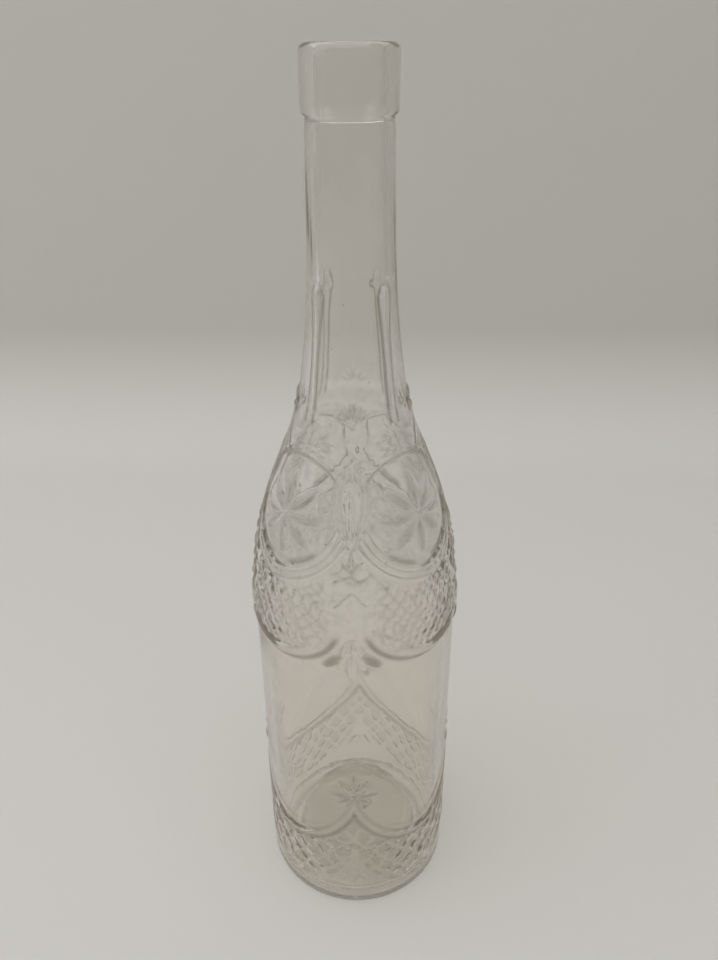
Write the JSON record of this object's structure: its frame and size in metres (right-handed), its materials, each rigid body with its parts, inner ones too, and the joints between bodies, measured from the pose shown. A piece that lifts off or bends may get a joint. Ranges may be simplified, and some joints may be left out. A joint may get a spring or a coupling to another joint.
{
  "type": "glass bottle",
  "caption": "Tall clear glass bottle moulded with star medallions, diamond fields and flutes, with a bored lip collar and a pushed-up base.",
  "frame": {"origin": "middle of the ring that the bottle rests on, on the ground plane", "axes": "+Z along the bottle's axis towards the mouth; -Y through the cusp between two medallions that faces the camera in the picture; +X to the right in the picture"},
  "size_m": [0.0734, 0.0734, 0.3],
  "materials": {
    "clear_glass": "fire-polished moulded clear glass with a faint warm tint"
  },
  "bodies": {
    "root": {"punted_base": "clear_glass", "lower_band": "clear_glass", "plain_body": "clear_glass", "diamond_band": "clear_glass", "star_shoulder": "clear_glass", "fluted_neck": "clear_glass", "upper_neck": "clear_glass", "lip_collar": "clear_glass"}
  },
  "joints": []
}
